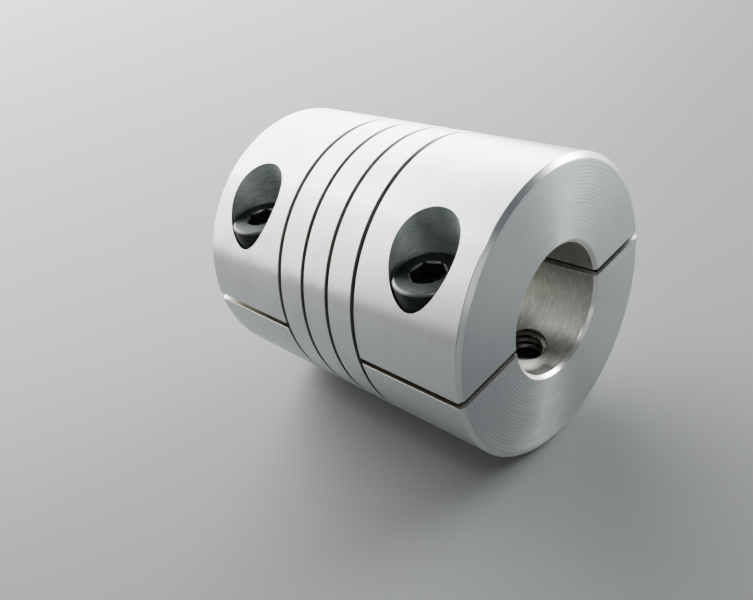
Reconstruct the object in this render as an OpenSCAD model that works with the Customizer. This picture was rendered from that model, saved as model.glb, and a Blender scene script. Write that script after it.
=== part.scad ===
// Helical-beam clamping shaft coupling.
// The shaft axis is X, the clamping slits lie in the plane z = 0 and both clamp
// screws are driven from +Z on the -Y side. "Near" is the +X end.
// The body is one machined bar. It is divided here where it really bends: at the
// necks of the two clamp jaws and along the spiral beam.
// Angles run about +X: 0 is +Y, 90 is +Z, 180 is -Y, 270 is -Z.

/* [Body] */

// Outside diameter of the body
body_d = 25; // [16:0.5:60]
// Length of the body
body_l = 30; // [20:0.5:80]
// Shaft bore in both hubs
bore_d = 11; // [4:0.5:12]
// Wider bore inside the spiral beam
relief_d = 12; // [5:0.5:20]
// Length of the wider bore
relief_l = 10; // [6:0.5:40]
// Radial width of the end edge break
edge_r = 0.5; // [0.1:0.05:1.5]
// Axial width of the end edge break
edge_x = 0.26; // [0.1:0.02:1.5]
// Break on the mouth of each bore
rim = 0.28; // [0.1:0.02:1]

/* [Spiral cut] */

// Width of the spiral cut
kerf_w = 0.4; // [0.2:0.05:1]
// Pitch of the spiral cut
kerf_pitch = 3.0; // [2:0.1:6]
// How far the spiral cut runs past the slit plane, in degrees
kerf_run_out = 120; // [95:1:170]

/* [Clamping slits] */

// Width of the slits
slit_w = 0.6; // [0.3:0.05:2]
// Distance from mid length to the inner end of each slit
slit_x = 4.7; // [4:0.1:8]

/* [Clamp screws] */

// Distance of each clamp screw from mid length
clamp_x = 9.95; // [8:0.05:12]
// Distance of each clamp screw from the shaft axis
clamp_y = 8.15; // [7.5:0.05:9]
// Height of the head seat above the slit plane
seat_z = 4.5; // [3:0.1:7]
// Diameter of the head pocket
pocket_d = 5.84; // [5.6:0.02:6.5]
// Clearance hole above the slit
clear_d = 3.4; // [3.2:0.1:3.8]
// Tapped hole below the slit, at the crest of the screw with its play
tapped_d = 3.2; // [3.1:0.05:3.3]
// Thread diameter of the clamp screw
clamp_d = 3; // [2:0.5:5]
// Length of the clamp screw under its head
clamp_l = 12; // [6:1:16]
// Head diameter
head_d = 5.5; // [3.8:0.1:8.5]
// Head height
head_h = 3; // [2:0.5:5]
// Hexagon socket across flats
key_w = 2.5; // [1.5:0.5:4]
// Hexagon socket depth
key_h = 1.5; // [1:0.1:2.5]

/* [Set screws] */

// Distance of each set screw from mid length
set_x = 10.8; // [9:0.05:12]
// Hole for the set screw
set_hole_d = 4.0; // [3:0.1:5]
// Thread diameter of the set screw, with running play
set_d = 3.9; // [2.9:0.1:4.9]
// Length of the set screw
set_l = 5; // [3:1:6]
// Depth of the set screw's outer end below the body surface
set_sunk = 0.6; // [0:0.1:1]
// Hexagon socket across flats
set_key_w = 2.0; // [1.5:0.5:3]

/* [Hidden] */

$fn = 96;
body_r = body_d / 2;
end_x = body_l / 2;
relief_x = relief_l / 2;
gap = kerf_w / 2;
far = body_r + 1.5;         // radius clear of the body's outside
core = bore_d / 2 - 2.5;    // radius clear of the bore's wall
step = 7.5;                 // angular step of the cut's walls
root_a = 180 + kerf_run_out;
aluminium = [0.80, 0.81, 0.82];
black = [0.10, 0.10, 0.11];
black_b = [0.15, 0.15, 0.16];

// Axial position of the cut's centre line; lower turns have lower angles.
function cut_x(a) = kerf_pitch * (a + 360) / 360;

// Node to build

// ---- machined bar ----

// The turned bar with both bores, before any cut
module bar() {
  rotate([0, 90, 0])
    rotate_extrude()
      polygon([
        [bore_d / 2 + rim, end_x], [body_r - edge_r, end_x], [body_r, end_x - edge_x],
        [body_r, edge_x - end_x], [body_r - edge_r, -end_x], [bore_d / 2 + rim, -end_x],
        [bore_d / 2, rim - end_x], [bore_d / 2, -relief_x], [relief_d / 2, -relief_x],
        [relief_d / 2, relief_x], [bore_d / 2, relief_x], [bore_d / 2, end_x - rim]
      ]);
}

// Sector from angle a0 to a1, between radii r0 and r1. It starts a half cut above
// the cut's turn that is `under` degrees back, and ends a half cut below the turn at
// the same angle, or at the flat x = top when top is given.
module sector(a0, a1, under, r0, r1, top = 0) {
  n = ceil((a1 - a0) / step);
  angles = [for (i = [0:n]) a0 + (a1 - a0) * i / n];
  points = [for (a = angles)
    let (lo = cut_x(a - under) + gap, hi = top > 0 ? top : cut_x(a) - gap)
    each [
      [lo, r0 * cos(a), r0 * sin(a)], [lo, r1 * cos(a), r1 * sin(a)],
      [hi, r1 * cos(a), r1 * sin(a)], [hi, r0 * cos(a), r0 * sin(a)]
    ]];
  sides = [for (i = [0:n - 1], j = [0:3])
    let (p = 4 * i + j, q = 4 * i + (j + 1) % 4)
    each [[p, q, p + 4], [q, q + 4, p + 4]]];
  ends = [[3, 2, 1, 0], [4 * n, 4 * n + 1, 4 * n + 2, 4 * n + 3]];
  polyhedron(points, concat(sides, ends), convexity = 6);
}

// The slot itself, from angle a0 to a1
module slot(a0, a1) {
  n = ceil((a1 - a0) / step);
  angles = [for (i = [0:n]) a0 + (a1 - a0) * i / n];
  points = [for (a = angles)
    let (lo = cut_x(a) - gap, hi = cut_x(a) + gap)
    each [
      [lo, core * cos(a), core * sin(a)], [lo, far * cos(a), far * sin(a)],
      [hi, far * cos(a), far * sin(a)], [hi, core * cos(a), core * sin(a)]
    ]];
  sides = [for (i = [0:n - 1], j = [0:3])
    let (p = 4 * i + j, q = 4 * i + (j + 1) % 4)
    each [[p, q, p + 4], [q, q + 4, p + 4]]];
  ends = [[3, 2, 1, 0], [4 * n, 4 * n + 1, 4 * n + 2, 4 * n + 3]];
  polyhedron(points, concat(sides, ends), convexity = 6);
}

// One length of the spiral beam, from angle a0 to a1
module beam(a0, a1) {
  intersection() {
    bar();
    sector(a0, a1, 360, core, far);
  }
}

// The slit of the near hub; it meets the spiral cut on the -Y side only
module slit() {
  translate([slit_x, -far, -slit_w / 2]) cube([body_l, 2 * far, slit_w]);
  translate([slit_x - gap - 0.1, -far, -slit_w / 2]) cube([body_l, far, slit_w]);
}

// Half of the near hub below the slit, which runs on into the beam
module root_half() {
  difference() {
    intersection() {
      bar();
      union() {
        sector(180, 275, 0, core, far, end_x + 1);
        difference() {
          sector(270, 360, 360, core - 0.5, far + 0.5, end_x + 2);
          slot(270, root_a);
        }
      }
    }
    slit();
  }
}

// Half of the near hub above the slit, held by its neck on the +Y side
module jaw_half() {
  difference() {
    intersection() {
      bar();
      sector(0, 180, 0, core, far, end_x + 1);
    }
    slit();
  }
}

// The far halves are the near ones turned half round about Y
module turned() {
  rotate([0, 180, 0]) children();
}

module z_hole(x, y, z0, z1, d) {
  translate([x, y, z0]) cylinder(h = z1 - z0, d = d);
}

// Holes above the slit: clearance hole and head pocket
module head_holes(x) {
  z_hole(x, -clamp_y, -1, body_r, clear_d);
  z_hole(x, -clamp_y, seat_z, body_r + 1, pocket_d);
}

// Holes below the slit: tapped hole and set screw hole
module thread_holes(x, xs) {
  z_hole(x, -clamp_y, -body_r, 1, tapped_d);
  z_hole(xs, 0, -body_r - 1, -bore_d / 2 + 1.5, set_hole_d);
}

// ---- screws ----

module hex_key(w, h) {
  cylinder(h = h, d = w / cos(30), $fn = 6);
}

module clamp_screw(x) {
  translate([x, -clamp_y, seat_z])
    difference() {
      rotate_extrude()
        polygon([
          [0, -clamp_l], [clamp_d / 2 - 0.4, -clamp_l], [clamp_d / 2, 0.4 - clamp_l],
          [clamp_d / 2, 0], [head_d / 2, 0], [head_d / 2, head_h - 0.3],
          [head_d / 2 - 0.1, head_h - 0.1], [head_d / 2 - 0.3, head_h], [0, head_h]
        ]);
      translate([0, 0, head_h - key_h]) hex_key(key_w, key_h + 1);
    }
}

module set_screw(x) {
  translate([x, 0, set_sunk - body_r])
    difference() {
      rotate_extrude()
        polygon([
          [0, 0], [set_d / 2 - 0.25, 0], [set_d / 2, 0.25], [set_d / 2, set_l - 0.7],
          [set_d / 2 - 0.7, set_l], [0.7, set_l], [0, set_l - 0.5]
        ]);
      translate([0, 0, -1]) hex_key(set_key_w, 3);
    }
}

// ---- nodes ----

module near_hub() {
  color(aluminium)
    difference() {
      root_half();
      thread_holes(clamp_x, set_x);
    }
}

module near_clamp_jaw() {
  color(aluminium)
    difference() {
      jaw_half();
      head_holes(clamp_x);
    }
}

module near_clamp_screw() {
  color(black) clamp_screw(clamp_x);
}

module near_set_screw() {
  color(black_b) set_screw(set_x);
}

module beam_1() { color(aluminium) beam(0, 270); }
module beam_2() { color(aluminium) beam(-180, 0); }
module beam_3() { color(aluminium) beam(-360, -180); }
module beam_4() { color(aluminium) beam(-630, -360); }

module far_hub() {
  color(aluminium)
    difference() {
      turned() root_half();
      head_holes(-clamp_x);
    }
}

module far_clamp_jaw() {
  color(aluminium)
    difference() {
      turned() jaw_half();
      thread_holes(-clamp_x, -set_x);
    }
}

module far_clamp_screw() {
  color(black) clamp_screw(-clamp_x);
}

module far_set_screw() {
  color(black_b) set_screw(-set_x);
}

near_hub();
near_clamp_jaw();
near_clamp_screw();
near_set_screw();
beam_1();
beam_2();
beam_3();
beam_4();
far_hub();
far_clamp_jaw();
far_clamp_screw();
far_set_screw();
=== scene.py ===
import math

import bmesh
import bpy
import numpy as np
from mathutils import Matrix, Vector


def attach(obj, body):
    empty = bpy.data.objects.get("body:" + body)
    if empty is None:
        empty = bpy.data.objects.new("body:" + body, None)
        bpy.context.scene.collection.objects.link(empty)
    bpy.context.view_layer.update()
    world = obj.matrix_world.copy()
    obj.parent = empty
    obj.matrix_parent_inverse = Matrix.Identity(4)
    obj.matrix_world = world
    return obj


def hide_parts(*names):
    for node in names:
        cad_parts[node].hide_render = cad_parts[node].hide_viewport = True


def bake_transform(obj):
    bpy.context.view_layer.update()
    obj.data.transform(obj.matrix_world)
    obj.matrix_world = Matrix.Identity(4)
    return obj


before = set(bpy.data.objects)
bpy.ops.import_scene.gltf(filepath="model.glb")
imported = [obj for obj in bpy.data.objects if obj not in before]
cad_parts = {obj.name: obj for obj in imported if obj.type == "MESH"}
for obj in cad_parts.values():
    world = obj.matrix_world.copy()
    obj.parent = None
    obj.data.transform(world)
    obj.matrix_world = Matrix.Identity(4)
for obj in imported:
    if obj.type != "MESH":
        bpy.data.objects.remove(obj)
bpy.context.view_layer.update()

MM = 0.001

# ---------------------------------------------------------------- dimensions, mm
# The shaft axis is X and the slits lie in z = 0. Angles run round X from +Y toward +Z, in degrees.

R = 12.5                       # body radius
END = 15.0                     # half the body's length
BORE = 5.5
RELIEF = BORE + 0.5            # radius of the relief behind the bore
RELIEF_X = 5.0                 # where the relief begins
EDGE_R, EDGE_X = 0.5, 0.26     # end chamfer, along the radius and along x
RIM = 0.28                     # 45 degree chamfer at the bore's mouth
CORNER = 0.035                 # corner breaks of the chamfers
CUT_EDGE = 0.05                # edge breaks of the spiral cut
SLIT_EDGE = 0.02               # edge breaks of the slits
BEAM_EDGE = 0.025              # edge breaks of the beam

KERF = 0.2                     # half the spiral cut's width
PITCH = 3.0                    # of the spiral cut
CUT_START = 300.0              # angle where the cut begins in the near hub
BEAM_ENDS = (285, 135, -90, -270, -495, -645)       # angles where the lengths of beam meet
SLIT = 0.3                     # half the slit's width
SLIT_X = 4.7                   # how near the middle the slits come, on the +Y side

CLAMP_X, CLAMP_Y = 9.95, 8.15  # clamp screw axes at x = +-CLAMP_X, y = -CLAMP_Y
SEAT = 4.5                     # z of the clamp screw's seat
POCKET_R = 2.92
CLEARANCE_R = 1.7
CLAMP_TAP_R = 1.6
HEAD_TOP = SEAT + 3.0
HEAD_R = 2.75
CLAMP_TIP = SEAT - 12.0
CLAMP_PITCH = 0.5
CLAMP_FLATS, CLAMP_SOCKET = 2.6, 1.45               # hexagon across its flats, and its depth
MOUTH_R = 1.44                 # where the cone turned into the socket ends, on the head's top

SET_X = 10.8                   # set screw axes at x = +-SET_X, y = 0, through the wall on -Z
SET_TAP_R = 2.0
SET_OUTER, SET_INNER = -R + 0.6, -R + 5.6           # z of the set screw's two ends
SET_PITCH = 0.7
SET_FLATS, SET_SOCKET = 2.0, 2.0

SPARE = 1.0                    # how far a cutter reaches past what it cuts


def cut_x(a):
    """x of the spiral cut's middle at angle a."""
    return PITCH * (a + 360.0) / 360.0


# ---------------------------------------------------------------- mesh helpers

def new_object(name, verts, faces):
    mesh = bpy.data.meshes.new(name)
    mesh.from_pydata([tuple(c * MM for c in v) for v in verts], [], faces)
    mesh.validate()
    obj = bpy.data.objects.new(name, mesh)
    bpy.context.scene.collection.objects.link(obj)
    return obj


def polar(x, r, a):
    return (x, r * math.cos(math.radians(a)), r * math.sin(math.radians(a)))


def outward(obj):
    """Faces point out."""
    bm = bmesh.new()
    bm.from_mesh(obj.data)
    bmesh.ops.recalc_face_normals(bm, faces=bm.faces)
    bm.to_mesh(obj.data)
    bm.free()
    return obj


def sweep(name, section, angles):
    """Closed solid through section(a), a closed loop of (x, r), at each angle."""
    rings = [section(a) for a in angles]
    n = len(rings[0])
    verts = [polar(x, r, a) for a, ring in zip(angles, rings) for x, r in ring]
    faces = []
    for i in range(len(angles) - 1):
        for j in range(n):
            p, q = i * n + j, i * n + (j + 1) % n
            faces += [(p, q, p + n), (q, q + n, p + n)]
    faces.append(tuple(range(n))[::-1])
    faces.append(tuple(range((len(angles) - 1) * n, len(angles) * n)))
    return outward(new_object(name, verts, faces))


def revolve(name, profile, steps=360, axis="x", at=(0, 0, 0)):
    """Closed solid of revolution round X, or round a line along Z. profile is (along, radius),
    either closed on itself or with its first and last points on the axis."""
    verts, rows = [], []
    for t, r in profile:
        if r < 1e-6:
            rows.append([len(verts)])
            verts.append((t, 0.0, 0.0))
        else:
            rows.append(list(range(len(verts), len(verts) + steps)))
            verts += [polar(t, r, 360.0 * k / steps) for k in range(steps)]
    faces = []
    closed = len(rows[0]) > 1
    for i in range(len(rows) if closed else len(rows) - 1):
        a, b = rows[i], rows[(i + 1) % len(rows)]
        for k in range(steps):
            m = (k + 1) % steps
            if len(a) == 1:
                faces.append((a[0], b[k], b[m]))
            elif len(b) == 1:
                faces.append((a[k], b[0], a[m]))
            else:
                faces.append((a[k], b[k], b[m], a[m]))
    if axis == "z":
        verts = [(y, z, x) for x, y, z in verts]
    verts = [tuple(c + d for c, d in zip(v, at)) for v in verts]
    return outward(new_object(name, verts, faces))


def prism(name, outline, x0, x1):
    """Solid of a (y, z) outline between x0 and x1."""
    n = len(outline)
    verts = [(x0, y, z) for y, z in outline] + [(x1, y, z) for y, z in outline]
    faces = [tuple(range(n)), tuple(range(n, 2 * n))[::-1]]
    faces += [(i, (i + 1) % n, n + (i + 1) % n, n + i) for i in range(n)]
    return outward(new_object(name, verts, faces))


def combine(obj, others, operation="DIFFERENCE"):
    """Cuts the others out of obj, or keeps what they share, and uses them up."""
    for other in others:
        mod = obj.modifiers.new("cut", "BOOLEAN")
        mod.operation = operation
        mod.solver = "MANIFOLD"
        mod.object = other
    bpy.context.view_layer.update()
    evaluated = obj.evaluated_get(bpy.context.evaluated_depsgraph_get())
    done = bpy.data.meshes.new_from_object(evaluated)
    obj.modifiers.clear()
    obj.data = done
    for other in others:
        bpy.data.objects.remove(other)
    return obj


def smooth(mesh, angle):
    """Smooth shading, with edges sharper than the angle kept."""
    mesh.shade_smooth()
    mesh.set_sharp_from_angle(angle=math.radians(angle))


def flatten(mesh, normals):
    """Flat normals on the faces square to an axis."""
    for poly in mesh.polygons:
        if max(abs(c) for c in poly.normal) > 0.9999:
            for li in poly.loop_indices:
                normals[li] = tuple(poly.normal)


def round_cylinder(mesh, normals, co, point, direction, radius, sign):
    """Radial normals on the walls of one cylinder."""
    d = np.array(direction, float)
    rel = co - np.array(point, float)
    radial = rel - np.outer(rel @ d, d)
    rr = np.linalg.norm(radial, axis=1)
    on = np.abs(rr - radius) < 0.004
    for poly in mesh.polygons:
        ids = list(poly.vertices)
        if all(on[i] for i in ids) and abs(np.dot(poly.normal, d)) < 0.02:
            for li, vi in zip(poly.loop_indices, ids):
                normals[li] = tuple(sign * radial[vi] / rr[vi])


def round_cone(mesh, normals, co, nx, r_lo, r_hi, sign):
    """Exact normals on the cones round X whose normal's x is nx, between two radii."""
    rr = np.hypot(co[:, 1], co[:, 2])
    square = sign * math.sqrt(1 - nx * nx)
    for poly in mesh.polygons:
        ids = list(poly.vertices)
        if abs(abs(poly.normal.x) - nx) < 0.01 and all(r_lo < rr[i] < r_hi for i in ids):
            sx = math.copysign(nx, poly.normal.x)
            for li, vi in zip(poly.loop_indices, ids):
                normals[li] = (sx, square * co[vi, 1] / rr[vi], square * co[vi, 2] / rr[vi])


def finish_shading(obj, cylinders=(), cones=(), angle=30.0):
    """Smooth shading with true normals on flats, on cylinders, each (axis point, axis direction,
    radius, sign), and on cones round X, each (normal's x, lowest radius, highest radius, sign)."""
    mesh = obj.data
    smooth(mesh, angle)
    normals = [tuple(n.vector) for n in mesh.corner_normals]
    co = np.array([v.co for v in mesh.vertices]) / MM
    flatten(mesh, normals)
    for cylinder in cylinders:
        round_cylinder(mesh, normals, co, *cylinder)
    for cone in cones:
        round_cone(mesh, normals, co, *cone)
    mesh.normals_split_custom_set(normals)
    return obj


def turn_over(obj):
    """Half round about Y: the far half from the near half."""
    obj.data.transform(Matrix.Rotation(math.pi, 4, "Y"))
    return obj


def even_steps(a0, a1, by=1.5):
    """Angles from a0 to a1, evenly spaced and no further apart than by."""
    n = max(1, int(math.ceil((a1 - a0) / by - 1e-9)))
    return [a0 + (a1 - a0) * i / n for i in range(n + 1)]


# ---------------------------------------------------------------- body halves
# Each is made for the near end, on +X, and the far ones are turned over.

STOCK_X = 1.5                            # how near the middle the stock comes
CUTTER_X, CUTTER_R = 0.5, 3.0            # where the spiral cutters begin, well inside the relief
REACH = R + 1.5                          # half the width of the flat cutters
EDGE_SLOPE = math.hypot(EDGE_R, EDGE_X)
EDGE_N = EDGE_R / EDGE_SLOPE             # x of the end chamfer's normal
RIM_N = math.sqrt(0.5)                   # x of the bore chamfer's normal


def stock(name):
    """Bar for one hub, with its bore, relief and chamfers."""
    w = CORNER
    along, fall = EDGE_X / EDGE_SLOPE * w, EDGE_R / EDGE_SLOPE * w
    rim = w * 0.7                        # w along x and along the radius of a 45 degree slope
    return revolve(name, [
        (STOCK_X, R), (END - EDGE_X - w, R), (END - EDGE_X + along, R - fall),
        (END - along, R - EDGE_R + fall), (END, R - EDGE_R - w), (END, BORE + RIM + w),
        (END - rim, BORE + RIM - rim), (END - RIM + rim, BORE + rim), (END - RIM - w, BORE),
        (RELIEF_X, BORE), (RELIEF_X, RELIEF), (STOCK_X, RELIEF)])


def below(name, under, a0, a1):
    """Everything below the upper wall of the cut's turn `under` degrees back."""
    def section(a):
        k = cut_x(a - under) + KERF
        return [(CUTTER_X, CUTTER_R), (k, CUTTER_R), (k, R - CUT_EDGE),
                (k + CUT_EDGE + SPARE, R + SPARE), (CUTTER_X, R + SPARE)]
    return sweep(name, section, even_steps(a0, a1))


def slot(name, a0, a1):
    """The spiral cut itself, with its edges broken."""
    def section(a):
        lo, hi = cut_x(a) - KERF, cut_x(a) + KERF
        return [(lo, CUTTER_R), (hi, CUTTER_R), (hi, R - CUT_EDGE), (hi + CUT_EDGE + SPARE, R + SPARE),
                (lo - CUT_EDGE - SPARE, R + SPARE), (lo, R - CUT_EDGE)]
    return sweep(name, section, even_steps(a0, a1))


def across(name, side):
    """Everything past the slit wall on one side, with the wall's edges broken."""
    s, w = side, SLIT_EDGE
    outline = [(-REACH, -s * (SLIT + 1.5)), (-R + w, -s * SLIT), (-BORE - w, -s * SLIT),
               (-BORE + 2 * w, -s * (SLIT + 3 * w)), (BORE - 2 * w, -s * (SLIT + 3 * w)),
               (BORE + w, -s * SLIT), (R - w, -s * SLIT), (REACH, -s * (SLIT + 1.5)),
               (REACH, s * REACH), (-REACH, s * REACH)]
    return prism(name, outline, -1.0, END + 5.0)


def hole(x, y, side, z0, z1, r, steps=96):
    """Cutter for a hole along Z from z0 out to z1, on one side of the slit."""
    lo, hi = (z0, z1) if side > 0 else (-z1, -z0)
    return revolve("c", [(lo, 0.0), (lo, r), (hi, r), (hi, 0.0)], steps, "z", (x, y, 0.0))


def head_cutters(side):
    """Clearance hole and head pocket, opening toward side."""
    return [hole(CLAMP_X, -CLAMP_Y, side, -SPARE, R, CLEARANCE_R),
            hole(CLAMP_X, -CLAMP_Y, side, SEAT, R + 2 * SPARE, POCKET_R, 144)]


def thread_cutters(side):
    """Tapped hole and set screw hole through the wall on that side."""
    return [hole(CLAMP_X, -CLAMP_Y, side, -SPARE, R + SPARE, CLAMP_TAP_R),
            hole(SET_X, 0.0, side, BORE - 1.5, R + SPARE, SET_TAP_R)]


def root_mesh(name, cutters):
    """Lower half of the hub with the first 15 degrees of beam on it."""
    leaves = BEAM_ENDS[0]
    return combine(stock(name), [
        across("c", 1.0), below("c", 0.0, 170.0, leaves), below("c", 360.0, leaves, 372.0),
        slot("c", leaves - 1.0, CUT_START), *cutters])


def jaw_mesh(name, cutters):
    """Upper half of the hub, without its neck."""
    return combine(stock(name), [across("c", -1.0), below("c", 0.0, -8.0, 188.0), *cutters])


def neck_mesh(name):
    """The metal left between the slit and the spiral cut on the +Y side."""
    box = prism("c", [(2.0, -SLIT), (REACH, -SLIT), (REACH, SLIT), (2.0, SLIT)], 0.0, SLIT_X)
    return combine(combine(stock(name), [box], "INTERSECT"), [below("c", 0.0, -12.0, 12.0)])


def hub_cylinders(end):
    """The round walls of one hub, for its normals. end is 1 near and -1 far."""
    origin, shaft, up = (0, 0, 0), (1, 0, 0), (0, 0, 1)
    return [(origin, shaft, R, 1), (origin, shaft, BORE, -1), (origin, shaft, RELIEF, -1),
            ((end * CLAMP_X, -CLAMP_Y, 0), up, POCKET_R, -1),
            ((end * SET_X, 0, 0), up, SET_TAP_R, -1)]


near_hub = root_mesh("near_hub_body", thread_cutters(-1))
near_jaw = jaw_mesh("near_jaw_body", head_cutters(1))
near_neck = neck_mesh("near_neck")
far_hub = turn_over(root_mesh("far_hub_body", head_cutters(-1)))
far_jaw = turn_over(jaw_mesh("far_jaw_body", thread_cutters(1)))
far_neck = turn_over(neck_mesh("far_neck"))
end_cones = [(EDGE_N, R - EDGE_R - 0.01, R + 0.01, 1), (RIM_N, BORE - 0.01, BORE + RIM + 0.01, -1)]
for end, pieces in ((1, (near_hub, near_jaw, near_neck)), (-1, (far_hub, far_jaw, far_neck))):
    for obj in pieces:
        finish_shading(obj, hub_cylinders(end), end_cones)


# ---------------------------------------------------------------- spiral beam

def ribbon_normal(loop, j, corner, angle):
    """Outward normal of side j of the beam's section, at its first or second corner."""
    a = math.radians(angle)
    (x0, r0), (x1, r1) = loop[j], loop[(j + 1) % len(loop)]
    r = loop[(j + corner) % len(loop)][1]
    across_side = Vector((x1 - x0, (r1 - r0) * math.cos(a), (r1 - r0) * math.sin(a)))
    along_cut = Vector((PITCH / math.tau, -r * math.sin(a), r * math.cos(a)))
    v = across_side.cross(along_cut).normalized()
    inward = Vector((-(r1 - r0), (x1 - x0) * math.cos(a), (x1 - x0) * math.sin(a)))
    return tuple(v if v.dot(inward) < 0 else -v)


def flip(mesh, normals):
    """Turns every face over, and the corner normals' order with it."""
    mesh.flip_normals()
    fixed, at = [], 0
    for poly in mesh.polygons:
        block = normals[at:at + poly.loop_total]
        # flip_normals keeps the first corner and reverses the rest
        fixed += [block[0]] + block[1:][::-1]
        at += poly.loop_total
    return fixed


def ribbon(name, a0, a1):
    """One length of the spiral beam, with exact normals."""
    h, w = PITCH / 2 - KERF, BEAM_EDGE
    loop = [(-h, RELIEF + w), (-h + w, RELIEF), (h - w, RELIEF), (h, RELIEF + w),
            (h, R - w), (h - w, R), (-h + w, R), (-h, R - w)]
    angles = even_steps(a0, a1, 1.0)
    last = len(angles) - 1
    n = len(loop)
    verts = [polar(cut_x(a) - PITCH / 2 + x, r, a) for a in angles for x, r in loop]
    faces, normals = [], []
    for i in range(last):
        for j in range(n):
            p, q = i * n + j, i * n + (j + 1) % n
            faces.append((p, q, q + n, p + n))
            for step, corner in ((0, 0), (0, 1), (1, 1), (1, 0)):
                normals.append(ribbon_normal(loop, j, corner, angles[i + step]))
    for i, order, sign in ((0, range(n - 1, -1, -1), -1.0), (last, range(n), 1.0)):
        a = math.radians(angles[i])
        faces.append(tuple(i * n + j for j in order))
        normals += [(0.0, -sign * math.sin(a), sign * math.cos(a))] * n
    obj = new_object(name, verts, faces)
    mesh = obj.data
    if mesh.polygons[0].normal.dot(Vector(normals[0])) < 0:
        normals = flip(mesh, normals)
    mesh.shade_smooth()
    mesh.normals_split_custom_set(normals)
    return obj


ribbons = [ribbon("ribbon_%d" % (i + 1), BEAM_ENDS[i + 1], BEAM_ENDS[i])
           for i in range(len(BEAM_ENDS) - 1)]


# ---------------------------------------------------------------- screws and tapped ridges

THREAD_SEGMENTS = 40
RINGS_PER_PITCH = 8


def circle(at, r, z):
    """Points of one ring round a line along Z."""
    turns = [math.tau * k / THREAD_SEGMENTS for k in range(THREAD_SEGMENTS)]
    return [(at[0] + r * math.cos(a), at[1] + r * math.sin(a), z) for a in turns]


def thread_ring(at, r_minor, r_major, pitch, z, shift):
    """Points of one ring of a thread: the radius rises and falls with height and angle."""
    points = []
    for k in range(THREAD_SEGMENTS):
        turn = k / THREAD_SEGMENTS
        phase = ((z + shift) / pitch - turn) % 1.0
        up = max(0.0, min(1.0, 1.6 - 3.6 * abs(phase - 0.5)))     # flat crest and root
        r = r_minor + (r_major - r_minor) * up
        a = math.tau * turn
        points.append((at[0] + r * math.cos(a), at[1] + r * math.sin(a), z))
    return points


def thread_solid(name, r_minor, r_major, pitch, z0, z1, at, core=None, shift=0.0):
    """A screw thread along Z as one closed surface. With a core radius, larger than the thread,
    it is a sleeve with that outside wall: the ridges of a tapped hole."""
    n = THREAD_SEGMENTS
    n_rings = int(round((z1 - z0) / pitch * RINGS_PER_PITCH)) + 1
    verts, faces = [], []
    for i in range(n_rings):
        z = z0 + (z1 - z0) * i / (n_rings - 1)
        verts += thread_ring(at, r_minor, r_major, pitch, z, shift)
    for i in range(n_rings - 1):
        for k in range(n):
            m = (k + 1) % n
            faces.append((i * n + k, i * n + m, (i + 1) * n + m, (i + 1) * n + k))
    top, base = (n_rings - 1) * n, n_rings * n
    if core is None:
        faces.append(tuple(range(n))[::-1])
        faces.append(tuple(range(top, base)))
    else:
        verts += circle(at, core, z0) + circle(at, core, z1)
        for k in range(n):
            m = (k + 1) % n
            faces.append((base + k, base + m, m, k))
            faces.append((top + k, top + m, base + n + m, base + n + k))
            faces.append((base + k, base + n + k, base + n + m, base + m))
    obj = outward(new_object(name, verts, faces))
    smooth(obj.data, 35)
    return obj


def hex_cutters(x, y, mouth, depth, across_flats, turn, wide, up=1.0):
    """Hexagon socket with its mouth at z = mouth and a drill point, and the 45 degree cone
    turned into it. The cone's radius is `wide` more than that of the hexagon's corners."""
    rc = across_flats / 2 / math.cos(math.pi / 6)
    floor_z, over = mouth - up * depth, mouth + up * 0.5
    verts, faces = [], []
    for z in (over, floor_z):
        for k in range(6):
            a = math.radians(turn + 60 * k)
            verts.append((x + rc * math.cos(a), y + rc * math.sin(a), z))
    tip = len(verts)
    verts.append((x, y, floor_z - up * rc * 0.35))
    faces.append(tuple(range(6)))
    for k in range(6):
        m = (k + 1) % 6
        faces += [(k, m, 6 + m, 6 + k), (tip, 6 + k, 6 + m)]
    top = rc + wide
    cone = [(mouth - up * top, 0.0), (mouth, top), (over, top), (over, 0.0)]
    return [outward(new_object("c", verts, faces)), revolve("c", cone, 96, "z", (x, y, 0.0))]


def cap_screw(name, x, turn):
    """M3 socket head cap screw: head with a rolled edge and a hexagon socket, cut thread, point
    and the fillet under the head."""
    at = (x, -CLAMP_Y, 0.0)
    bend = 0.30
    rolled = []
    for t in range(0, 91, 15):
        a = math.radians(t)
        rolled.append((HEAD_TOP - bend + bend * math.sin(a), HEAD_R - bend + bend * math.cos(a)))
    head = revolve(name, [
        (SEAT - 0.001, 0.0), (SEAT - 0.001, 1.45), (SEAT, 1.5), (SEAT, 2.62), (SEAT + 0.10, 2.72),
        (SEAT + 0.25, HEAD_R), *rolled, (HEAD_TOP, 0.0)], 128, "z", at)
    combine(head, hex_cutters(x, -CLAMP_Y, HEAD_TOP, CLAMP_SOCKET, CLAMP_FLATS, turn, -0.06))
    finish_shading(head, [(at, (0, 0, 1), HEAD_R, 1)], angle=40.0)
    thread = thread_solid(name + "_thread", 1.21, 1.49, CLAMP_PITCH, CLAMP_TIP + 0.4, SEAT - 0.35,
                          (x, -CLAMP_Y))
    point = revolve(name + "_point", [
        (CLAMP_TIP, 0.0), (CLAMP_TIP, 0.98), (CLAMP_TIP + 0.1, 1.1), (CLAMP_TIP + 0.4, 1.24),
        (CLAMP_TIP + 0.45, 1.0), (CLAMP_TIP + 0.5, 0.0)], 48, "z", at)
    fillet = revolve(name + "_fillet", [
        (SEAT - 0.45, 0.0), (SEAT - 0.45, 1.22), (SEAT - 0.3, 1.45), (SEAT, 1.5),
        (SEAT + 0.1, 1.3), (SEAT + 0.1, 0.0)], 48, "z", at)
    for obj in (point, fillet):
        finish_shading(obj, angle=40.0)
    return [head, thread, point, fillet]


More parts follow.
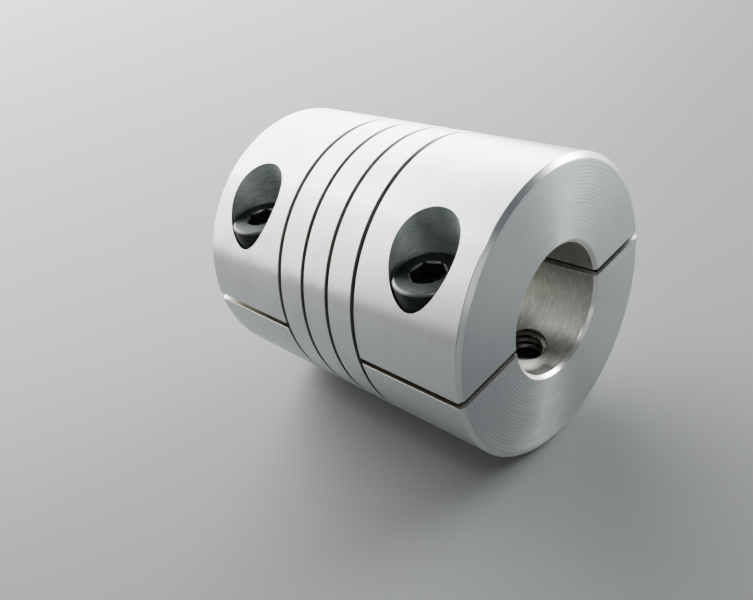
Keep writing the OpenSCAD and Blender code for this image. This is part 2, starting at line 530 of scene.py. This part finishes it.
def grub_screw(name, x):
    """M4 set screw: cut thread, cup point toward the bore, hexagon socket outside. The thread
    stops short of the point, so that it stays clear of the tapped ridges as the screw feeds."""
    z0, z1 = SET_OUTER, SET_INNER
    body = revolve(name, [
        (z0, 0.0), (z0, 1.40), (z0 + 0.08, 1.50), (z0 + 0.30, 1.64), (z1 - 0.75, 1.64),
        (z1 - 0.62, 1.60), (z1 - 0.02, 1.06), (z1, 1.02), (z1 - 0.03, 0.96), (z1 - 0.42, 0.0)],
        96, "z", (x, 0.0, 0.0))
    combine(body, hex_cutters(x, 0.0, z0, SET_SOCKET, SET_FLATS, 10.0, 0.04, up=-1.0))
    finish_shading(body, angle=35.0)
    thread = thread_solid(name + "_thread", 1.60, 1.93, SET_PITCH, z0 + 0.25, z1 - 1.90, (x, 0.0))
    return [body, thread]


def shaft_cylinder(x, r):
    """Cutter round the shaft axis, 3 mm to each side of x."""
    return revolve("c", [(x - 3, 0.0), (x - 3, r), (x + 3, r), (x + 3, 0.0)])


def set_ridges(name, x):
    """Tapped ridges that show from the bore, clear of the set screw's travel."""
    obj = thread_solid(name, 1.66, 1.97, SET_PITCH, -7.35, -4.9, (x, 0.0), core=SET_TAP_R + 0.02,
                       shift=0.28)
    return combine(obj, [shaft_cylinder(x, BORE + 0.01)])


def clamp_ridges(name, x):
    """Tapped ridges that show from below, under the clamp screw's point."""
    obj = thread_solid(name, 1.26, 1.57, CLAMP_PITCH, -11.0, -7.95, (x, -CLAMP_Y),
                       core=CLAMP_TAP_R + 0.02)
    return combine(obj, [shaft_cylinder(x, R - 0.04)], "INTERSECT")


near_screw = cap_screw("near_clamp_screw_head", CLAMP_X, 22.0)
far_screw = cap_screw("far_clamp_screw_head", -CLAMP_X, 8.0)
near_grub = grub_screw("near_set_screw_body", SET_X)
far_grub = grub_screw("far_set_screw_body", -SET_X)
ridges = {
    "near_hub": [set_ridges("near_set_ridges", SET_X), clamp_ridges("near_clamp_ridges", CLAMP_X)],
    "far_clamp_jaw": [set_ridges("far_set_ridges", -SET_X),
                      clamp_ridges("far_clamp_ridges", -CLAMP_X)]}
for obj in (o for pair in ridges.values() for o in pair):
    smooth(obj.data, 35)


# ---------------------------------------------------------------- materials

class Nodes:
    """Small helper to write node trees."""

    def __init__(self, name):
        self.mat = bpy.data.materials.new(name)
        self.mat.use_nodes = True
        self.tree = self.mat.node_tree
        self.tree.nodes.clear()
        self.out = self.new("OutputMaterial")
        self.bsdf = self.new("BsdfPrincipled")
        self.link(self.bsdf.outputs[0], self.out.inputs["Surface"])

    def new(self, kind):
        return self.tree.nodes.new("ShaderNode" + kind)

    def link(self, a, b):
        self.tree.links.new(a, b)

    def put(self, socket, value):
        """Links a socket's value, or sets a plain one."""
        if isinstance(value, bpy.types.NodeSocket):
            self.link(value, socket)
        else:
            socket.default_value = value

    def math(self, op, a, b=0.0):
        n = self.new("Math")
        n.operation = op
        self.put(n.inputs[0], a)
        self.put(n.inputs[1], b)
        return n.outputs[0]

    def times(self, a, b):
        return self.math("MULTIPLY", a, b)

    def plus(self, a, b):
        return self.math("ADD", a, b)

    def vec(self, op, a, b=(0, 0, 0)):
        n = self.new("VectorMath")
        n.operation = op
        self.put(n.inputs[0], a)
        self.put(n.inputs[1], b)
        return n.outputs["Value"] if op == "LENGTH" else n.outputs[0]

    def xyz(self, x, y, z):
        n = self.new("CombineXYZ")
        for socket, value in zip(n.inputs, (x, y, z)):
            self.put(socket, value)
        return n.outputs[0]

    def noise(self, vector, scale, detail, rough, w=None):
        n = self.new("TexNoise")
        if w is not None:
            n.noise_dimensions = "4D"
            self.put(n.inputs["W"], w)
        self.put(n.inputs["Vector"], vector)
        self.put(n.inputs["Scale"], scale)
        self.put(n.inputs["Detail"], detail)
        self.put(n.inputs["Roughness"], rough)
        return n.outputs["Fac"]

    def remap(self, value, a, b, c=0.0, d=1.0):
        """c at a to d at b, and level past them."""
        n = self.new("MapRange")
        n.clamp = True
        for socket, v in zip(n.inputs, (value, a, b, c, d)):
            self.put(socket, v)
        return n.outputs[0]

    def mix(self, fac, a, b):
        n = self.new("Mix")
        n.data_type = "RGBA"
        self.put(n.inputs[0], fac)
        self.put(n.inputs[6], a)
        self.put(n.inputs[7], b)
        return n.outputs[2]

    def bump(self, height, strength):
        n = self.new("Bump")
        self.put(n.inputs["Height"], height)
        self.put(n.inputs["Strength"], strength)
        n.inputs["Distance"].default_value = 0.02 * MM
        return n.outputs[0]


def coordinates(t):
    """Rest coordinates in mm: (vector, x, y, z)."""
    p = t.vec("SCALE", t.new("TexCoord").outputs["Object"])
    p.node.inputs["Scale"].default_value = 1 / MM
    s = t.new("SeparateXYZ")
    t.link(p, s.inputs[0])
    x, y, z = s.outputs
    return p, x, y, z


def from_line(t, ax, y, x0, y0):
    """Distance from the line along Z at |x| = x0, y = y0."""
    return t.vec("LENGTH", t.xyz(t.math("SUBTRACT", ax, x0), t.math("SUBTRACT", y, y0), 0.0))


# Aluminium colours: one plain, or a darker and a lighter one that marks run between
BARREL = (0.62, 0.64, 0.65, 1), (0.71, 0.73, 0.74, 1)
SMUDGED = (0.58, 0.59, 0.58, 1)
# End faces: painted shade. Their turned tone is set darker than the barrel's; the marks run between
# the two.
FACE_PAINTED_SHADE = (0.455, 0.485, 0.49, 1), (0.535, 0.565, 0.57, 1)
# Bore's chamfer: painted highlight, a brighter and warmer colour than the barrel.
BORE_CHAMFER_HIGHLIGHT = (0.88, 0.86, 0.82, 1)
# Inside walls of the cuts and holes: painted shade, darker than the barrel.
INSIDE_PAINTED_SHADE = (0.42, 0.42, 0.40, 1)
# Slit walls: partly a sawn tone, partly painted light, tinted tan and lighter for the warm light on
# the upward-facing wall.
SAWN_TONE_AND_WARM_LIGHT = (0.32, 0.28, 0.20, 1), (0.50, 0.45, 0.35, 1)
# Slit on the +Y side of the bore: painted shade, near black.
SLIT_PAINTED_SHADE = (0.045, 0.047, 0.044, 1)
BORED = (0.40, 0.405, 0.37, 1), (0.60, 0.605, 0.56, 1)
# Bore's -Y side within about 2 mm of each end: painted shade, near black, which puts out a highlight
# there.
BORE_LIP_PAINTED_SHADE = (0.042, 0.045, 0.040, 1)
# Set screws' tapped holes and their ridges: painted shade, near black.
TAPPED_HOLE_PAINTED_SHADE = (0.09, 0.09, 0.08, 1)
# Pocket walls: painted shade and painted reflection, dark greenish and khaki patches and a lighter
# tone, with the drill marks running between them.
POCKET_SHADE_PATCHES = (0.24, 0.29, 0.29, 1), (0.50, 0.52, 0.45, 1)
POCKET_SHADE_LIGHTER = (0.46, 0.51, 0.52, 1)


def aluminium_places(t, x, y, z, rad):
    """Masks of where the surface lies, and two that only mark painted shade: the slit on the +Y side
    and the bore's lip.
    """
    ax = t.math("ABSOLUTE", x)
    inside = t.times(t.remap(rad, R - 0.03, R - 0.07), t.remap(ax, END - RIM, END - RIM - 0.06))
    from_clamp = from_line(t, ax, y, CLAMP_X, -CLAMP_Y)
    from_set = from_line(t, ax, y, SET_X, 0.0)
    sawn = t.times(t.times(inside, t.remap(ax, SLIT_X - 0.02, SLIT_X + 0.02)),
                   t.remap(t.math("ABSOLUTE", z), SLIT + 0.05, SLIT + 0.02))
    return {
        "inside": inside,
        "bore": t.times(inside, t.remap(rad, RELIEF + 0.06, RELIEF + 0.02)),
        "pocket": t.times(inside, t.remap(from_clamp, POCKET_R + 0.04, POCKET_R + 0.01)),
        "face": t.remap(ax, END - 0.05, END - 0.01),
        "tapped": t.times(t.remap(from_set, SET_TAP_R + 0.05, SET_TAP_R + 0.01),
                          t.remap(z, 0.0, -1.0)),
        "rim": t.times(t.remap(ax, END - RIM - 0.02, END - RIM + 0.01),
                       t.remap(rad, BORE + RIM + 0.02, BORE + RIM - 0.01)),
        "sawn": sawn,
        # painted shade: the slit walls on the +Y side
        "slit_shade": t.times(sawn, t.remap(y, -3.0, 1.0)),
        # painted shade: the bore's -Y side near each end
        "lip": t.times(t.remap(ax, END - 2.2, END - 1.2), t.remap(y, 0.8, -1.2))}


def aluminium_marks(t, p, x, y, z, rad, face):
    """Tool marks. Turned grooves run round the shaft axis: fast across x and radius, slow round
    the axis. Bored and drilled walls have coarser marks round their own axes, broken up."""
    turned = t.xyz(t.times(x, 9.0), t.times(rad, 9.0), t.times(y, 0.10))
    grooves = t.xyz(t.times(x, 1.6), t.times(rad, 5.5), t.times(y, 0.03))
    bored = t.xyz(t.times(x, 9.0), t.times(y, 1.1), t.times(z, 1.1))
    feed_mm = 0.28
    return {
        "fine": t.noise(turned, 1.0, 3.0, 0.6, t.times(z, 0.10)),
        "rings": t.noise(grooves, 1.0, 2.0, 0.6, t.times(z, 0.03)),
        "feed": t.times(t.math("SINE", t.times(rad, math.tau / feed_mm)), face),
        "smudge": t.noise(p, 0.35, 3.0, 0.55),
        "torn": t.noise(bored, 1.0, 4.0, 0.6),
        "drilled": t.noise(t.xyz(x, y, t.times(z, 5.0)), 1.0, 5.0, 0.65),
        "patch": t.noise(p, 0.6, 3.0, 0.6)}


def aluminium_height(t, place, mark):
    """Height of the tool marks."""
    face = place["face"]
    fine = t.times(mark["fine"], t.math("SUBTRACT", 0.12, t.times(face, 0.06)))
    rings = t.times(mark["rings"], t.plus(0.3, t.times(face, 1.1)))
    height = t.plus(t.plus(fine, rings), t.times(mark["feed"], 0.35))
    height = t.plus(height, t.times(t.times(mark["torn"], place["bore"]), 0.8))
    return t.plus(height, t.times(t.times(mark["drilled"], place["pocket"]), 1.5))


def aluminium_colour(t, place, mark):
    """Bright on the barrel, with marks and smudges; the bore has its own tone from its boring marks.
    Painted shade darkens the end faces, the inside walls, the slit on the +Y side, the bore's lip, the
    tapped holes and the drill-marked pockets, which also get a painted reflection; painted light
    brightens the bore's chamfer and tints the slit walls tan over their sawn tone.
    """
    fine = t.remap(mark["fine"], 0.3, 0.7)
    base = t.mix(fine, *BARREL)
    base = t.mix(t.remap(mark["smudge"], 0.45, 0.75, 0.0, 0.35), base, SMUDGED)
    # painted shade: the end faces darker than the barrel
    base = t.mix(place["face"], base, t.mix(fine, *FACE_PAINTED_SHADE))
    # painted highlight on the bore's chamfer
    base = t.mix(place["rim"], base, BORE_CHAMFER_HIGHLIGHT)
    # painted shade on the inside walls
    base = t.mix(place["inside"], base, INSIDE_PAINTED_SHADE)
    # slit walls: sawn tone and painted warm light
    base = t.mix(place["sawn"], base, t.mix(t.remap(mark["fine"], 0.35, 0.65), *SAWN_TONE_AND_WARM_LIGHT))
    # painted shade in the slit on the +Y side
    base = t.mix(place["slit_shade"], base, SLIT_PAINTED_SHADE)
    base = t.mix(place["bore"], base, t.mix(t.remap(mark["torn"], 0.36, 0.64), *BORED))
    # painted shade on the bore's lip
    base = t.mix(t.times(place["bore"], place["lip"]), base, BORE_LIP_PAINTED_SHADE)
    # painted shade in the tapped holes
    base = t.mix(t.times(place["inside"], place["tapped"]), base, TAPPED_HOLE_PAINTED_SHADE)
    # pocket walls: painted shade and painted reflection, streaked by the drill marks
    patches = t.mix(t.remap(mark["patch"], 0.35, 0.65), *POCKET_SHADE_PATCHES)
    drilled = t.mix(t.remap(mark["drilled"], 0.35, 0.65), patches, POCKET_SHADE_LIGHTER)
    return t.mix(place["pocket"], base, drilled)


def aluminium_roughness(t, place, mark):
    rough = t.plus(t.remap(mark["fine"], 0.3, 0.7, 0.275, 0.305),
                   t.remap(mark["smudge"], 0.35, 0.7, 0.0, 0.05))
    rough = t.plus(rough, t.times(place["inside"], 0.06))
    return t.plus(rough, t.times(t.plus(place["pocket"], place["bore"]), 0.15))


def aluminium():
    """Turned aluminium. Its highlights stretch across the grooves: along x on the barrel, along
    the radius on the end faces."""
    t = Nodes("turned_aluminium")
    p, x, y, z = coordinates(t)
    radial = t.xyz(0.0, y, z)
    rad = t.vec("LENGTH", radial)
    place = aluminium_places(t, x, y, z, rad)
    mark = aluminium_marks(t, p, x, y, z, rad, place["face"])
    inputs = t.bsdf.inputs
    t.put(inputs["Base Color"], aluminium_colour(t, place, mark))
    t.put(inputs["Roughness"], aluminium_roughness(t, place, mark))
    inputs["Metallic"].default_value = 1.0
    inputs["Anisotropic"].default_value = 0.8
    along = t.vec("ADD", t.vec("NORMALIZE", radial), (1.0, 0.0, 0.0))
    t.link(t.vec("NORMALIZE", along), inputs["Tangent"])
    t.link(t.bump(aluminium_height(t, place, mark), 0.35), inputs["Normal"])
    return t.mat


def edge_highlight_mask(t, x, y, z):
    """Mask of the painted highlights on the rolled edge of a cap screw's head and on its socket's
    mouth.
    """
    from_axis = from_line(t, t.math("ABSOLUTE", x), y, CLAMP_X, -CLAMP_Y)
    rolled = t.times(t.remap(z, HEAD_TOP - 0.24, HEAD_TOP - 0.18),
                     t.remap(from_axis, HEAD_R - 0.25, HEAD_R - 0.17))
    mouth = t.times(t.remap(z, HEAD_TOP - 0.20, HEAD_TOP - 0.14),
                    t.remap(from_axis, MOUTH_R + 0.03, MOUTH_R))
    return t.plus(t.times(rolled, 0.8), mouth)


def black_steel(name, tint):
    """Black oxide, with a lighter colour painted where the edge mask says: painted highlights on the
    rolled edge and the socket's mouth.
    """
    t = Nodes(name)
    p, x, y, z = coordinates(t)
    grain = t.noise(p, 6.0, 4.0, 0.6)
    patch = t.noise(p, 1.1, 2.0, 0.5)
    dark, light = (tuple(c * k for c in tint) + (1,) for k in (0.7, 1.4))
    base = t.mix(t.remap(patch, 0.35, 0.7), dark, light)
    inputs = t.bsdf.inputs
    # painted highlight: a lighter colour on the rolled edge and the socket's mouth
    t.put(inputs["Base Color"], t.mix(edge_highlight_mask(t, x, y, z), base, (0.16, 0.165, 0.165, 1)))
    t.put(inputs["Roughness"], t.remap(grain, 0.3, 0.7, 0.34, 0.44))
    inputs["Metallic"].default_value = 0.6
    inputs["Specular IOR Level"].default_value = 0.02
    t.link(t.bump(grain, 0.08), inputs["Normal"])
    return t.mat


def pale_floor():
    t = Nodes("pale_floor")
    t.bsdf.inputs["Base Color"].default_value = (0.15, 0.159, 0.161, 1)
    t.bsdf.inputs["Roughness"].default_value = 0.6
    return t.mat


alu = aluminium()
clamp_steel = black_steel("black_oxide_cap_screw", (0.026, 0.029, 0.030))
set_steel = black_steel("black_oxide_set_screw", (0.013, 0.014, 0.015))


# ---------------------------------------------------------------- bodies and replaced nodes

def dress(obj, material, slot_name, body=None, blend=None):
    """Gives a piece its material, and hangs it on the body it rides; a piece given a blend instead
    only has its transform baked. slot_name is not used.
    """
    obj.data.materials.clear()
    obj.data.materials.append(material)
    if body:
        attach(obj, body)
    else:
        a, b, start, end = blend
        tuple(c * MM for c in start)
        tuple(c * MM for c in end)
        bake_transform(obj)


ALU_SLOT = "turned_aluminium"
CLAMP_SLOT = "clamp_screw_steel"
SET_SLOT = "set_screw_steel"
MID = 9                                  # radius in the wall of the blend points listed below
SPREAD = 4.0                             # how far the blend points lie to each side of their joint
LEAD = 1.4                               # and toward a hub

for obj, body in ((near_hub, "near_hub"), (near_jaw, "near_clamp_jaw"),
                  (far_hub, "far_hub"), (far_jaw, "far_clamp_jaw")):
    dress(obj, alu, ALU_SLOT, body)
for obj, blend in (
        (near_neck, ("near_hub", "near_clamp_jaw", (0, MID, -SLIT), (0, MID, SLIT))),
        (far_neck, ("far_hub", "far_clamp_jaw", (0, MID, SLIT), (0, MID, -SLIT))),
        (ribbons[0], ("near_hub", "beam_1", (0, LEAD, -MID), (0, -SPREAD, -MID))),
        (ribbons[1], ("beam_1", "beam_2", (0, MID, SPREAD), (0, MID, -SPREAD))),
        (ribbons[2], ("beam_2", "beam_3", (0, -MID, -SPREAD), (0, -MID, SPREAD))),
        (ribbons[3], ("beam_3", "beam_4", (0, MID, SPREAD), (0, MID, -SPREAD))),
        (ribbons[4], ("beam_4", "far_hub", (0, -SPREAD, MID), (0, LEAD, MID)))):
    dress(obj, alu, ALU_SLOT, blend=blend)
for body, objs in ridges.items():
    for obj in objs:
        dress(obj, alu, ALU_SLOT, body)
for objs, material, slot_name, body in (
        (near_screw, clamp_steel, CLAMP_SLOT, "near_clamp_screw"),
        (far_screw, clamp_steel, CLAMP_SLOT, "far_clamp_screw"),
        (near_grub, set_steel, SET_SLOT, "near_set_screw"),
        (far_grub, set_steel, SET_SLOT, "far_set_screw")):
    for obj in objs:
        dress(obj, material, slot_name, body)

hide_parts("near_hub")
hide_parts("near_clamp_jaw")
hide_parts("far_hub")
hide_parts("far_clamp_jaw")
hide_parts("beam_1")
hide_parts("beam_2")
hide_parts("beam_3")
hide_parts("beam_4")
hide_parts("near_clamp_screw")
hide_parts("far_clamp_screw")
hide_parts("near_set_screw")
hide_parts("far_set_screw")


# ---------------------------------------------------------------- floor, lights, camera

FLOOR = 900.0                  # half the floor's width
FLOOR_Z = -R - 0.01
floor = new_object("floor", [(-FLOOR, -FLOOR, FLOOR_Z), (FLOOR, -FLOOR, FLOOR_Z),
                             (FLOOR, FLOOR, FLOOR_Z), (-FLOOR, FLOOR, FLOOR_Z)], [(0, 1, 2, 3)])
floor.data.materials.append(pale_floor())

world = bpy.data.worlds.new("studio")
bpy.context.scene.world = world
world.use_nodes = True
background = world.node_tree.nodes["Background"]
background.inputs["Color"].default_value = (0.80, 0.88, 0.90, 1)
background.inputs["Strength"].default_value = 0.14


def softbox(name, at, aim, size, radiance, colour=(1, 1, 1)):
    """A rectangular light at one point, facing another."""
    data = bpy.data.lights.new(name, "AREA")
    data.shape = "RECTANGLE"
    data.size, data.size_y = size[0] * MM, size[1] * MM
    data.energy = radiance * math.pi * data.size * data.size_y
    data.color = colour
    obj = bpy.data.objects.new(name, data)
    bpy.context.scene.collection.objects.link(obj)
    obj.location = Vector(at) * MM
    obj.rotation_mode = "QUATERNION"
    obj.rotation_quaternion = (Vector(aim) - Vector(at)).to_track_quat("-Z", "Y")


# a bright wall past the far end and its dimmer front part, a low window behind, a lamp above
# and a low front light
softbox("wall", (-450, 400, 260), (0, 400, 260), (1000, 540), 14.0)
softbox("wall_front", (-450, -290, 300), (0, -290, 300), (380, 620), 5.0, (1.0, 1.0, 0.90))
softbox("window", (120, 340, 90), (0, 0, 0), (220, 120), 48.0)
softbox("lamp", (170, -125, 360), (0, 0, 0), (55, 55), 40.0)
softbox("front", (430, -50, 45), (0, 0, 0), (260, 90), 2.2)

# the camera's place, the direction it looks in and its up direction
CAMERA_AT = (43.7487, -38.8027, 37.9161)
CAMERA_FACES = (-0.65601, 0.49455, -0.57015)
CAMERA_UP = (-0.27457, 0.54728, 0.79063)


def add_camera():
    data = bpy.data.cameras.new("camera")
    data.lens = 36.075
    data.sensor_width = 36.0
    data.sensor_fit = "HORIZONTAL"
    data.clip_start, data.clip_end = 0.001, 10.0
    back = -Vector(CAMERA_FACES).normalized()
    side = Vector(CAMERA_UP).normalized().cross(back).normalized()
    up = back.cross(side)
    cam = bpy.data.objects.new("camera", data)
    cam.matrix_world = Matrix((
        (side.x, up.x, back.x, CAMERA_AT[0] * MM),
        (side.y, up.y, back.y, CAMERA_AT[1] * MM),
        (side.z, up.z, back.z, CAMERA_AT[2] * MM),
        (0, 0, 0, 1)))
    bpy.context.scene.collection.objects.link(cam)
    bpy.context.scene.camera = cam


add_camera()
